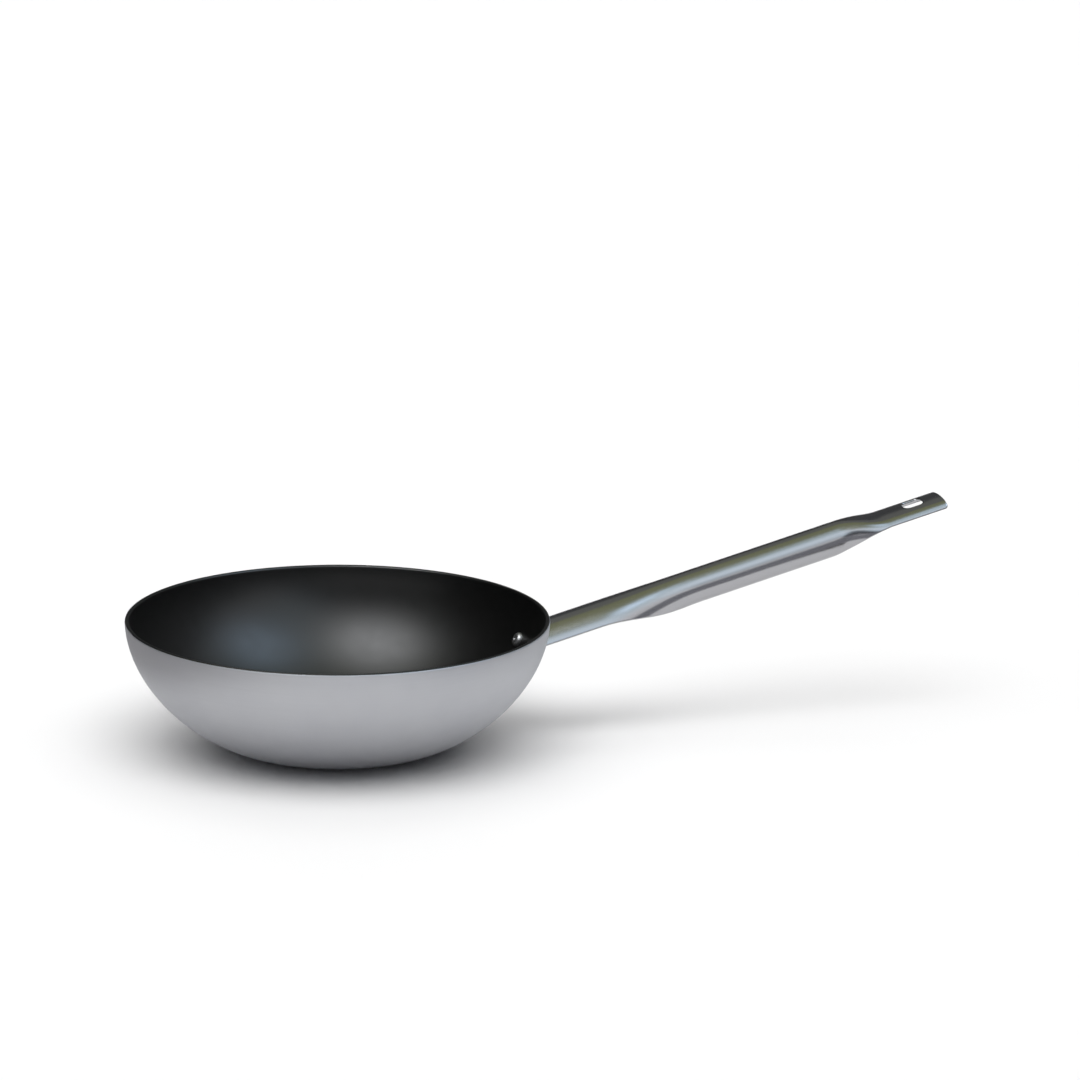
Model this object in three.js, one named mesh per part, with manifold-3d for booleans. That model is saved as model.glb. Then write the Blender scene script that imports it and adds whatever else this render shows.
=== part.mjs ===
// Flat-based wok: a spun aluminium bowl with a non-stick lining, a one-piece sheet-steel handle and two rivets.
// Millimetres, +Z up. The origin is the centre of the flat base, which stands on z = 0. The handle runs along +X.
import * as THREE from "three";
import { mergeVertices } from "three/addons/utils/BufferGeometryUtils.js";
import Module from "manifold-3d";

const { degToRad, lerp, smoothstep } = THREE.MathUtils;

// Bowl: the outside of the wall is one cubic curve from the edge of the flat base up to the rim.
const RIM_RADIUS = 140;
const RIM_HEIGHT = 86.5;
const BASE_RADIUS = 50;
const BASE_EASE = 38; // how far the curve runs out along the floor as it leaves the base
const RIM_EASE = 44; // how far it runs down from the rim before it bends in
const RIM_FLARE = degToRad(2.5); // lean of the wall at the rim, outwards
const WALL = 3;

// Non-stick lining: a skin over the inside and over the lip, which leaves the lip's outer edge bare.
const LINING = 0.4;
const LIP_BARE = degToRad(50); // angle of the lip's rounding that stays bare, from the outer edge

// Handle: one sheet, bent up out of three sections. Each has a crown, by its half-width, then an arc on either side.
const SHEET = 1.5;
const PITCH = degToRad(14.1); // rise of the crown line
const CROWN_DEPTH = 13.8; // neck's crown below the rim, where it meets the wall
const NECK = { crown: 0, radius: 20, arc: degToRad(65) };
const GRIP = { crown: 0, radius: 11.5, arc: degToRad(150) };
const TAIL = { crown: 13, radius: 4.8, arc: degToRad(85) };
const TAIL_ARCH = 45; // radius of the tail's shallow crown
const TAIL_DROP = 4.9; // tail's top below the crown line
const NECK_LENGTH = 39; // plain arch, from the wall
const ROLL_LENGTH = 74; // the arch rolls in to the grip
const GRIP_LENGTH = 98;
const TRIM_LENGTH = 40; // the grip's sides run out towards the tail
const FLATTEN_DELAY = 13; // the grip stays round this far past the start of that run-out
const FLATTEN_LENGTH = 25;
const TAIL_LENGTH = 40.5;
const TAIL_CORNER = 2.5;
const SLOT_LENGTH = 13.5;
const SLOT_WIDTH = 13;
const SLOT_CORNER = 4;
const SLOT_MARGIN = 13; // metal between the hanging slot and the end of the tail

// Root flange: it lies on the wall under the neck and takes the rivets.
const FLANGE_MARGIN = 7; // rivet centre to the flange's side and lower edge
const FLANGE_RISE = 3; // flange above the neck's crown
const FLANGE_CORNER = 6;

// Rivets: a dimpled head inside the bowl and a low head outside.
const RIVET_SPACING = 24;
const RIVET_DEPTH = 29.4; // below the rim
const SHANK_RADIUS = 2.5;
const INNER_HEAD_RADIUS = 5.2;
const INNER_HEAD_HEIGHT = 1.8;
const DIMPLE_RADIUS = 1.9;
const DIMPLE_DEPTH = 0.8;
const OUTER_HEAD_RADIUS = 4.2;
const OUTER_HEAD_HEIGHT = 1.3;

// Clearances
const SEAT_GAP = 0.3; // between layers that lie on each other
const HEAD_GAP = 0.5; // under a flat rivet head on the curved wall
const HOLE_CLEARANCE = 0.2; // round a rivet's shank
const TOOL_CLEARANCE = 0.5; // round a rivet's outer head, for the riveting tool

// Fineness of the facets
const TURN_SEGMENTS = 64;
const WALL_STEPS = 11;
const LIP_STEPS = 4;
const CROWN_STEPS = 3;
const ARC_STEPS = 7;
const BEND_STEPS = 10;
const CORNER_STEPS = 4;
const HEAD_SEGMENTS = 20;
const HEAD_STEPS = 4;
const CUTTER_REACH = 40; // how far cutters run past what they cut
const MERGE_DISTANCE = 1e-4; // points closer than this are one point
const HALVINGS = 50; // steps of a search by halving

const wasm = await Module();
wasm.setup();

// A closed geometry as a solid: positions only, shared vertices merged, collapsed triangles dropped.
function toSolid(geometry) {
  const bare = geometry.clone();
  bare.deleteAttribute("normal");
  bare.deleteAttribute("uv");
  const merged = mergeVertices(bare, MERGE_DISTANCE);
  const corners = merged.index.array;
  const kept = [];
  for (let i = 0; i < corners.length; i += 3) {
    const [a, b, c] = corners.slice(i, i + 3);
    if (a !== b && b !== c && c !== a) kept.push(a, b, c);
  }
  const vertProperties = merged.getAttribute("position").array;
  return new wasm.Manifold(new wasm.Mesh({ numProp: 3, vertProperties, triVerts: Uint32Array.from(kept) }));
}

function toGeometry(solid) {
  const { vertProperties, triVerts } = solid.getMesh();
  const geometry = new THREE.BufferGeometry();
  geometry.setAttribute("position", new THREE.BufferAttribute(vertProperties, 3));
  geometry.setIndex(new THREE.BufferAttribute(triVerts, 1));
  geometry.computeVertexNormals();
  return geometry;
}

// A profile of (radius, height) points, turned about +Z.
function turned(profile, segments = TURN_SEGMENTS) {
  return new THREE.LatheGeometry(profile, segments).rotateX(Math.PI / 2);
}

// Wall of the bowl

const LIP_RADIUS = WALL / 2;
const CURVE_TOP = RIM_HEIGHT - LIP_RADIUS * (1 + Math.sin(RIM_FLARE));
const OUTSIDE = new THREE.CubicBezierCurve(
  new THREE.Vector2(BASE_RADIUS, 0),
  new THREE.Vector2(BASE_RADIUS + BASE_EASE, 0),
  new THREE.Vector2(RIM_RADIUS - RIM_EASE * Math.sin(RIM_FLARE), CURVE_TOP - RIM_EASE * Math.cos(RIM_FLARE)),
  new THREE.Vector2(RIM_RADIUS, CURVE_TOP),
);

// The point at a share t of the wall's curve, moved into the bowl by an inset, with the way in and the way up.
function wallPoint(t, inset = 0) {
  const up = OUTSIDE.getTangent(t);
  const inward = new THREE.Vector2(-up.y, up.x);
  return { point: OUTSIDE.getPoint(t).addScaledVector(inward, inset), inward, up };
}

function wallLine(inset, from = 0, to = 1) {
  const shares = Array.from({ length: WALL_STEPS + 1 }, (_, i) => lerp(from, to, i / WALL_STEPS));
  return shares.map((t) => wallPoint(t, inset).point);
}

// The lip's rounding at a distance from its centre: angle 0 is the outer edge, a half turn the inner edge.
function lipLine(radius, from, to) {
  const { point, inward, up } = wallPoint(1, LIP_RADIUS);
  const angles = Array.from({ length: LIP_STEPS + 1 }, (_, i) => lerp(from, to, i / LIP_STEPS));
  return angles.map((angle) =>
    point
      .clone()
      .addScaledVector(inward, -radius * Math.cos(angle))
      .addScaledVector(up, radius * Math.sin(angle)),
  );
}

// The share of the wall's curve at a depth below the rim, by halving.
function shareAtDepth(depth) {
  let [low, high] = [0, 1];
  for (let i = 0; i < HALVINGS; i++) {
    const middle = (low + high) / 2;
    if (OUTSIDE.getPoint(middle).y < RIM_HEIGHT - depth) low = middle;
    else high = middle;
  }
  return low;
}

function bowlSolid() {
  return toSolid(
    turned([
      new THREE.Vector2(0, 0),
      ...wallLine(0),
      ...lipLine(LIP_RADIUS, 0, Math.PI).slice(1, -1),
      ...wallLine(WALL).reverse(),
      new THREE.Vector2(0, WALL),
    ]),
  );
}

function liningSolid() {
  const under = WALL + SEAT_GAP;
  const over = under + LINING;
  return toSolid(
    turned([
      new THREE.Vector2(0, under),
      ...wallLine(under),
      ...lipLine(LIP_RADIUS + SEAT_GAP, Math.PI, LIP_BARE).slice(1),
      ...lipLine(LIP_RADIUS + SEAT_GAP + LINING, LIP_BARE, Math.PI).slice(0, -1),
      ...wallLine(over).reverse(),
      new THREE.Vector2(0, over),
    ]),
  );
}

// Rivets

const RIVET_SHARE = shareAtDepth(RIVET_DEPTH);
const FLANGE_BACK = SEAT_GAP; // the flange's faces, outwards from the wall
const FLANGE_FRONT = FLANGE_BACK + SHEET;
const INNER_SEAT = -(WALL + SEAT_GAP + LINING + HEAD_GAP); // the heads' seats, along the rivet from the wall
const OUTER_SEAT = FLANGE_FRONT + HEAD_GAP;

// A rivet's frame: its origin lies on the wall's outside and its +Z points straight out of the wall.
function rivetFrame(side) {
  const { point, inward } = wallPoint(RIVET_SHARE);
  const azimuth = side * Math.asin(RIVET_SPACING / 2 / point.x);
  const turn = new THREE.Matrix4().makeRotationZ(azimuth);
  const out = new THREE.Vector3(-inward.x, 0, -inward.y);
  const across = new THREE.Vector3(0, 1, 0);
  const basis = new THREE.Matrix4().makeBasis(across, out.clone().cross(across), out);
  return turn.multiply(basis.setPosition(point.x, 0, point.y));
}

function rivetGeometry() {
  const profile = [];
  const innerFace = INNER_SEAT - INNER_HEAD_HEIGHT;
  for (let i = 0; i <= HEAD_STEPS; i++) {
    const share = i / HEAD_STEPS;
    profile.push(new THREE.Vector2(DIMPLE_RADIUS * share, innerFace + DIMPLE_DEPTH * (1 - share ** 2)));
  }
  for (let i = 1; i <= HEAD_STEPS; i++) {
    const angle = ((i / HEAD_STEPS) * Math.PI) / 2;
    profile.push(
      new THREE.Vector2(
        lerp(DIMPLE_RADIUS, INNER_HEAD_RADIUS, Math.sin(angle)),
        INNER_SEAT - INNER_HEAD_HEIGHT * Math.cos(angle),
      ),
    );
  }
  profile.push(new THREE.Vector2(SHANK_RADIUS, INNER_SEAT), new THREE.Vector2(SHANK_RADIUS, OUTER_SEAT));
  for (let i = 0; i <= HEAD_STEPS; i++) {
    const angle = ((i / HEAD_STEPS) * Math.PI) / 2;
    profile.push(
      new THREE.Vector2(
        lerp(SHANK_RADIUS, OUTER_HEAD_RADIUS, Math.cos(angle)),
        OUTER_SEAT + OUTER_HEAD_HEIGHT * Math.sin(angle),
      ),
    );
  }
  profile.push(new THREE.Vector2(0, OUTER_SEAT + OUTER_HEAD_HEIGHT));
  return turned(profile, HEAD_SEGMENTS);
}

// A round cutter along a rivet, between two distances from the wall's outside.
function rivetCutter(side, radius, from, to) {
  const profile = [
    new THREE.Vector2(0, from),
    new THREE.Vector2(radius, from),
    new THREE.Vector2(radius, to),
    new THREE.Vector2(0, to),
  ];
  return toSolid(turned(profile, HEAD_SEGMENTS).applyMatrix4(rivetFrame(side)));
}

const SIDES = [-1, 1];

function drilled(solid) {
  return SIDES.reduce(
    (left, side) => left.subtract(rivetCutter(side, SHANK_RADIUS + HOLE_CLEARANCE, INNER_SEAT, OUTER_SEAT)),
    solid,
  );
}

// Handle. In its own frame X runs out along the crown line from the wall, Y across and Z up from the crown.

const ROLL_START = NECK_LENGTH;
const GRIP_START = ROLL_START + ROLL_LENGTH;
const TRIM_START = GRIP_START + GRIP_LENGTH;
const TRIM_END = TRIM_START + TRIM_LENGTH;
const FLATTEN_START = TRIM_START + FLATTEN_DELAY;
const FLATTEN_END = FLATTEN_START + FLATTEN_LENGTH;
const TAIL_START = Math.max(FLATTEN_END, TRIM_END);
const HANDLE_END = TAIL_START + TAIL_LENGTH;
const HANDLE_ROOT = -(NECK.radius + CROWN_DEPTH); // well inside the wall, which then trims the neck

const along = new THREE.Vector3(Math.cos(PITCH), 0, Math.sin(PITCH));
const across = new THREE.Vector3(0, 1, 0);
const crownFoot = wallPoint(shareAtDepth(CROWN_DEPTH)).point;
const HANDLE_FRAME = new THREE.Matrix4()
  .makeBasis(along, across, along.clone().cross(across))
  .setPosition(crownFoot.x, 0, crownFoot.y);

// The sheet's section at a distance along the crown line: the crown's half-width and curvature, those of the arc
// beside it, and how far it all drops.
function sectionAt(distance) {
  const roll = smoothstep(distance, ROLL_START, GRIP_START);
  const trim = smoothstep(distance, TRIM_START, TRIM_END);
  const flatten = smoothstep(distance, FLATTEN_START, FLATTEN_END);
  const blend = (neck, grip, tail, last) => lerp(lerp(neck, grip, roll), tail, last);
  const toEnd = Math.min(HANDLE_END - distance, TAIL_CORNER);
  const cornerInset = TAIL_CORNER - Math.sqrt(TAIL_CORNER ** 2 - (TAIL_CORNER - toEnd) ** 2);
  const crown = blend(NECK.crown, GRIP.crown, TAIL.crown, flatten) - cornerInset;
  const arch = flatten / TAIL_ARCH;
  const curvature = blend(1 / NECK.radius, 1 / GRIP.radius, 1 / TAIL.radius, flatten);
  const arc = blend(NECK.radius * NECK.arc, GRIP.radius * GRIP.arc, TAIL.radius * TAIL.arc, trim);
  return { crown, arch, curvature, arc: arc - (crown * arch) / curvature, drop: TAIL_DROP * flatten };
}

// One loop of points round the sheet's section: across the outer face, and back along the inner face.
function sheetLoop(distance) {
  const { crown, arch, curvature, arc, drop } = sectionAt(distance);
  const end = crown + arc;
  const runs = [...stepsBetween(0, crown, CROWN_STEPS), ...stepsBetween(crown, end, ARC_STEPS), end];
  const outer = [];
  const inner = [];
  for (const side of SIDES) {
    for (const run of side < 0 ? runs.toReversed() : runs) {
      const onCrown = Math.min(run, crown);
      const tilt = onCrown * arch;
      const chord = tilt > 0 ? (2 * Math.sin(tilt / 2)) / arch : onCrown;
      const angle = tilt + (run - onCrown) * curvature;
      const [sine, cosine] = [Math.sin(angle), Math.cos(angle)];
      const y = side * (chord * Math.cos(tilt / 2) + (sine - Math.sin(tilt)) / curvature);
      const z = (cosine - Math.cos(tilt)) / curvature - chord * Math.sin(tilt / 2) - drop;
      outer.push(new THREE.Vector3(distance, y, z));
      inner.push(new THREE.Vector3(distance, y - side * SHEET * sine, z - SHEET * cosine));
    }
  }
  return [...outer, ...inner.reverse()];
}

function stepsBetween(from, to, count) {
  return Array.from({ length: count }, (_, i) => lerp(from, to, i / count));
}

// Where the loops stand along the crown line: close together in the bends and round the end's corners.
function sheetStations() {
  const corner = stepsBetween(0, Math.PI / 2, CORNER_STEPS).map(
    (angle) => HANDLE_END - TAIL_CORNER * (1 - Math.sin(angle)),
  );
  return [
    HANDLE_ROOT,
    ...stepsBetween(ROLL_START, GRIP_START, BEND_STEPS),
    GRIP_START,
    ...stepsBetween(TRIM_START, TAIL_START, BEND_STEPS),
    TAIL_START,
    ...corner,
    HANDLE_END,
  ];
}

// The bent sheet, lofted through its loops and closed by a strip of quads at either end.
function sheetGeometry() {
  const loops = sheetStations().map(sheetLoop);
  const size = loops[0].length;
  const index = [];
  const quad = (a, b, c, d) => index.push(a, b, c, a, c, d);
  for (let ring = 0; ring + 1 < loops.length; ring++) {
    for (let i = 0; i < size; i++) {
      const next = (i + 1) % size;
      const [here, there] = [ring * size, (ring + 1) * size];
      quad(here + i, there + i, there + next, here + next);
    }
  }
  const last = (loops.length - 1) * size;
  for (let i = 0; i + 1 < size / 2; i++) {
    const [near, far] = [i, size - 1 - i];
    quad(near, near + 1, far - 1, far);
    quad(last + near + 1, last + near, last + far, last + far - 1);
  }
  const geometry = new THREE.BufferGeometry().setFromPoints(loops.flat());
  return geometry.setIndex(index).applyMatrix4(HANDLE_FRAME);
}

function roundedRectangle(left, right, bottom, top, radius) {
  return new THREE.Shape()
    .moveTo(left + radius, bottom)
    .lineTo(right - radius, bottom)
    .absarc(right - radius, bottom + radius, radius, -Math.PI / 2, 0)
    .lineTo(right, top - radius)
    .absarc(right - radius, top - radius, radius, 0, Math.PI / 2)
    .lineTo(left + radius, top)
    .absarc(left + radius, top - radius, radius, Math.PI / 2, Math.PI)
    .lineTo(left, bottom + radius)
    .absarc(left + radius, bottom + radius, radius, Math.PI, 1.5 * Math.PI);
}

function slotCutter() {
  const end = HANDLE_END - SLOT_MARGIN;
  const outline = roundedRectangle(end - SLOT_LENGTH, end, -SLOT_WIDTH / 2, SLOT_WIDTH / 2, SLOT_CORNER);
  const cutter = new THREE.ExtrudeGeometry(outline, {
    depth: 2 * CUTTER_REACH,
    bevelEnabled: false,
    curveSegments: CORNER_STEPS,
  });
  return toSolid(cutter.translate(0, 0, -CUTTER_REACH).applyMatrix4(HANDLE_FRAME));
}

// The root flange: a layer over the wall's outside, cut to its outline by a prism that looks along X.
function flangeSolid() {
  const top = RIM_HEIGHT - CROWN_DEPTH + FLANGE_RISE;
  const bottom = RIM_HEIGHT - RIVET_DEPTH - FLANGE_MARGIN;
  const half = RIVET_SPACING / 2 + FLANGE_MARGIN;
  const from = shareAtDepth(RIVET_DEPTH + 2 * FLANGE_MARGIN);
  const layer = turned([
    ...wallLine(-FLANGE_FRONT, from),
    ...wallLine(-FLANGE_BACK, from).reverse(),
    wallPoint(from, -FLANGE_FRONT).point,
  ]);
  const outline = roundedRectangle(-half, half, bottom, top, FLANGE_CORNER);
  const prism = new THREE.ExtrudeGeometry(outline, {
    depth: RIM_RADIUS + CUTTER_REACH,
    bevelEnabled: false,
    curveSegments: CORNER_STEPS,
  });
  const lookAlongX = new THREE.Matrix4().makeBasis(
    new THREE.Vector3(0, 1, 0),
    new THREE.Vector3(0, 0, 1),
    new THREE.Vector3(1, 0, 0),
  );
  return toSolid(layer).intersect(toSolid(prism.applyMatrix4(lookAlongX)));
}

// Everything up to the flange's back, which trims the neck's inner end.
function wallCutter() {
  return toSolid(
    turned([
      new THREE.Vector2(0, -CUTTER_REACH),
      new THREE.Vector2(BASE_RADIUS, -CUTTER_REACH),
      ...wallLine(-FLANGE_BACK),
      new THREE.Vector2(0, wallPoint(1, -FLANGE_BACK).point.y),
    ]),
  );
}

function handleSolid() {
  let sheet = toSolid(sheetGeometry()).subtract(wallCutter()).subtract(slotCutter());
  for (const side of SIDES) {
    const access = rivetCutter(side, OUTER_HEAD_RADIUS + TOOL_CLEARANCE, FLANGE_FRONT, CUTTER_REACH);
    sheet = sheet.subtract(access);
  }
  return drilled(sheet.add(flangeSolid()));
}

// Assembly

const SATIN_ALUMINIUM = new THREE.MeshStandardMaterial({ color: 0xb4b5ba, roughness: 0.42, metalness: 1 });
const BLACK_NONSTICK = new THREE.MeshStandardMaterial({ color: 0x1b1c1d, roughness: 0.45, metalness: 0 });
const POLISHED_STEEL = new THREE.MeshStandardMaterial({ color: 0xc9c9c6, roughness: 0.12, metalness: 1 });
const RIVET_ALUMINIUM = new THREE.MeshStandardMaterial({ color: 0xbfc0c2, roughness: 0.3, metalness: 1 });

function named(name, geometry, material) {
  const mesh = new THREE.Mesh(geometry, material);
  mesh.name = name;
  return mesh;
}

const wok = new THREE.Group();
wok.name = "wok";
wok.add(named("bowl", toGeometry(drilled(bowlSolid())), SATIN_ALUMINIUM));
wok.add(named("nonstick_lining", toGeometry(drilled(liningSolid())), BLACK_NONSTICK));
wok.add(named("handle", toGeometry(handleSolid()), POLISHED_STEEL));
for (const [name, side] of [["rivet_near", -1], ["rivet_far", 1]]) {
  const rivet = named(name, rivetGeometry(), RIVET_ALUMINIUM);
  rivet.applyMatrix4(rivetFrame(side));
  wok.add(rivet);
}

export default wok;
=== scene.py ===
"""Looks of a flat-based wok: black non-stick inside, bare aluminium outside, long polished steel handle.

The wok's sizes are in millimetres in the part's own frame: the origin is the middle of the flat base, +Z is
up and the handle runs along +X. Meshes are worked out in millimetres and stored in metres. The studio and the
camera are in metres and degrees.
"""

import logging
from dataclasses import dataclass, field
from enum import Enum
from math import asin, atan2, copysign, cos, hypot, pi, radians, sin, sqrt
from typing import Any, Callable, Iterable, Sequence

import bpy
import numpy as np
from bpy.types import Material, Node, NodeSocket, NodeTree, Object
from mathutils import Matrix, Vector


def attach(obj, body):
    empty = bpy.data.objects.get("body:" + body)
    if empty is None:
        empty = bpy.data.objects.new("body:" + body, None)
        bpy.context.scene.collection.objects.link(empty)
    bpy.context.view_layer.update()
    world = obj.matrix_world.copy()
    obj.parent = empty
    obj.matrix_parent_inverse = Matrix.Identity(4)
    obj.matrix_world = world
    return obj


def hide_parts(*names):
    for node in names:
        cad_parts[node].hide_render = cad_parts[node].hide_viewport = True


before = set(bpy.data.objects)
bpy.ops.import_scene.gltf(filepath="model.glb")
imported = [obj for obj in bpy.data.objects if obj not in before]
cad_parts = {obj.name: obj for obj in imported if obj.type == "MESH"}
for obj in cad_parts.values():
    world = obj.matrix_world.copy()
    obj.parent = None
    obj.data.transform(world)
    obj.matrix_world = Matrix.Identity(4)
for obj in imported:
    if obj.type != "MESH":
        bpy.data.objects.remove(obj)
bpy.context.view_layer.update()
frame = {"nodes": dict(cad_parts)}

LOG = logging.getLogger("wok")
MM = 0.001  # metres in a millimetre
BODY = "root"  # nothing on the wok moves, so every piece rides on its one body
QUARTER = pi / 2  # a quarter turn
UPRIGHT = 90.0  # degrees from straight down, where a new camera looks, to level
HALVINGS = 40  # times that a search halves its range
NOTHING = 1e-6  # a length shorter than this counts as none
SLACK = 1e-3  # points this little past a border still count as on it
MIN_GAP = 0.02  # lines of a mesh that lie closer than this become one
SHARE_DIGITS = 6  # shares that agree to so many decimals become one
MIX_LOW, MIX_HIGH, MIX_RESULT = 6, 7, 2  # a mix node's colour sockets, which share their names with others
WHITE = (1, 1, 1, 1)

Colour = tuple[float, float, float, float]
Faces = list[tuple[int, ...]]
Profile = list[tuple[float, float]]  # radius and height of each point
Twin = tuple[int, int]  # one point of a sheet: its index on the upper face and on the lower face
Spot = tuple[float, float]  # place on the handle's sheet: distance from the wall, length across it
Rows = list[list[Spot]]


class Slot(Enum):
    """Material slots of the part's record."""

    ALUMINIUM = "satin_aluminium"
    NONSTICK = "black_nonstick"
    STEEL = "polished_steel"
    RIVET = "rivet_aluminium"


class Side(Enum):
    """The two sides of the handle's line, as signs along Y."""

    NEAR = -1
    FAR = 1


# Small tools


def linear(code: str) -> Colour:
    """Turn an sRGB hex colour such as "#b4b5ba" into linear RGBA with a full alpha."""
    channels = (int(code[i : i + 2], 16) / 255 for i in (1, 3, 5))
    return *(c / 12.92 if c <= 0.04045 else ((c + 0.055) / 1.055) ** 2.4 for c in channels), 1.0


def smoothstep(value: float, low: float, high: float) -> float:
    """Ease from 0 at low to 1 at high."""
    share = min(max((value - low) / (high - low), 0.0), 1.0)
    return share * share * (3 - 2 * share)


def lerp(start: float, stop: float, share: float) -> float:
    """Mix two numbers by a share from 0 to 1."""
    return start + (stop - start) * share


def steps(start: float, stop: float, count: int) -> list[float]:
    """Split a range into count equal parts, both ends included."""
    return [lerp(start, stop, i / count) for i in range(count + 1)]


def spaced(values: Iterable[float]) -> list[float]:
    """Sort numbers and leave out those that lie too close to the one before.

    Args:
        values: The numbers.

    Returns:
        Those that are left, in order.
    """
    kept: list[float] = []
    for value in sorted(values):
        if not kept or value - kept[-1] > MIN_GAP:
            kept.append(value)
    return kept


def mirrored(shares: Iterable[float]) -> list[float]:
    """Sort the shares of one side, which start at 0, and set those of the other side before them."""
    half = sorted({round(share, SHARE_DIGITS) for share in shares})
    return [-share for share in reversed(half[1:])] + half


def search(low: float, high: float, is_before: Callable[[float], bool]) -> tuple[float, float]:
    """Close in on the place where a test turns from true to false.

    Args:
        low: Start of the range.
        high: End of the range.
        is_before: The test, true from the start up to the place.

    Returns:
        The nearest places before it and after it.
    """
    for _ in range(HALVINGS):
        middle = (low + high) / 2
        if is_before(middle):
            low = middle
        else:
            high = middle
    return low, high


def add_node(
    tree: NodeTree,
    kind: str,
    settings: dict[str, Any] | None = None,
    values: dict[str | int, Any] | None = None,
    links: dict[str | int, NodeSocket] | None = None,
) -> Node:
    """Add one node with its settings, input values and links.

    Args:
        tree: Node tree that takes the node.
        kind: Blender's name of the node's type.
        settings: Properties of the node.
        values: Input name or number to its constant value.
        links: Input name or number to the output socket that feeds it.

    Returns:
        The new node.
    """
    node = tree.nodes.new(kind)
    for key, value in (settings or {}).items():
        setattr(node, key, value)
    for key, value in (values or {}).items():
        node.inputs[key].default_value = value
    for key, socket in (links or {}).items():
        tree.links.new(socket, node.inputs[key])
    return node


def make_mesh(name: str, points: Sequence[Sequence[float]], faces: Faces, crease: float = 40.0) -> Object:
    """Make a smooth-shaded mesh object out of points in millimetres.

    Args:
        name: Name of the piece.
        points: Vertices in the part's frame.
        faces: Vertex numbers of each face, counter-clockwise from outside.
        crease: Edges that bend by more degrees than this stay sharp.

    Returns:
        The object, linked to the scene.
    """
    mesh = bpy.data.meshes.new(name)
    mesh.from_pydata([tuple(c * MM for c in p) for p in points], [], faces)
    mesh.validate()
    mesh.shade_smooth()
    mesh.set_sharp_from_angle(angle=radians(crease))
    piece = bpy.data.objects.new(name, mesh)
    bpy.context.scene.collection.objects.link(piece)
    return piece


def turn(profile: Profile, segments: int) -> tuple[list[Vector], Faces]:
    """Turn a profile about +Z into a closed mesh.

    Args:
        profile: Points from the axis round the outside and back to the axis.
        segments: Parts of the full turn.

    Returns:
        Points and faces.
    """
    points: list[Vector] = []
    rings: list[list[int]] = []
    for radius, height in profile:
        first = len(points)
        if radius < NOTHING:
            points.append(Vector((0, 0, height)))
            rings.append([first] * segments)
            continue
        for i in range(segments):
            angle = 2 * pi * i / segments
            points.append(Vector((radius * cos(angle), radius * sin(angle), height)))
        rings.append(list(range(first, first + segments)))
    faces: Faces = []
    for low, high in zip(rings, rings[1:]):
        for i in range(segments):
            j = (i + 1) % segments
            faces.append(tuple(dict.fromkeys((low[i], low[j], high[j], high[i]))))
    return points, faces


def dress(piece: Object, material: Material, slot: Slot, *nodes: str) -> None:
    """Give a piece its finish and its body, and hide the solids that it stands for.

    Args:
        piece: Finished mesh object, in place.
        material: Finish of the whole piece.
        slot: Material slot of the record; not used.
        nodes: Names of the solids that the piece replaces.
    """
    piece.data.materials.append(material)
    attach(piece, BODY)
    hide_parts(*nodes)
    LOG.info("%s: %d faces, %s", piece.name, len(piece.data.polygons), material.name)


# Finishes


def empty_material(name: str) -> tuple[Material, NodeTree]:
    """Make a material without nodes.

    Args:
        name: Name of the material.

    Returns:
        The material and its empty tree.
    """
    material = bpy.data.materials.new(name)
    material.use_nodes = True
    material.node_tree.nodes.clear()
    return material, material.node_tree


@dataclass(frozen=True)
class Finish:
    """A finish whose colour, roughness and relief follow patterns on the surface."""

    name: str
    shade: str  # colour where the pattern of its tone is lowest
    colour: str  # colour where it is highest
    roughness: float
    gloss_spread: float  # roughness lost where the pattern of its gloss is lowest, gained where it is highest

    def start(self, constants: dict[str, float]) -> tuple[Material, NodeTree, Node, NodeSocket]:
        """Start a material with one Principled shader.

        Args:
            constants: Constant inputs of the shader.

        Returns:
            The material, its tree, the shader and a socket with the part's coordinates in millimetres.
        """
        material, tree = empty_material(self.name)
        shader = add_node(tree, "ShaderNodeBsdfPrincipled", values=constants)
        add_node(tree, "ShaderNodeOutputMaterial", links={"Surface": shader.outputs["BSDF"]})
        place = add_node(tree, "ShaderNodeTexCoord").outputs["Object"]
        mm = add_node(tree, "ShaderNodeVectorMath", {"operation": "SCALE"}, {"Scale": 1 / MM}, {0: place})
        return material, tree, shader, mm.outputs["Vector"]

    def drive(
        self, shader: Node, tone: NodeSocket, gloss: NodeSocket, *reliefs: tuple[NodeSocket, float]
    ) -> None:
        """Let patterns drive the shader.

        Args:
            shader: The shader.
            tone: Pattern of its colour.
            gloss: Pattern of its roughness.
            reliefs: Patterns of its relief with their depths in millimetres, each laid over the one before.
        """
        tree = shader.id_data
        ends = {MIX_LOW: linear(self.shade), MIX_HIGH: linear(self.colour)}
        mixed = add_node(tree, "ShaderNodeMix", {"data_type": "RGBA"}, ends, {0: tone})
        tree.links.new(mixed.outputs[MIX_RESULT], shader.inputs["Base Color"])
        ends = {"To Min": self.roughness - self.gloss_spread, "To Max": self.roughness + self.gloss_spread}
        rough = add_node(tree, "ShaderNodeMapRange", values=ends, links={"Value": gloss})
        tree.links.new(rough.outputs[0], shader.inputs["Roughness"])
        below: dict[str, NodeSocket] = {}
        for pattern, depth in reliefs:
            sizes = {"Strength": 1.0, "Distance": depth * MM}
            bump = add_node(tree, "ShaderNodeBump", values=sizes, links={"Height": pattern} | below)
            below = {"Normal": bump.outputs[0]}
        tree.links.new(below["Normal"], shader.inputs["Normal"])


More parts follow.
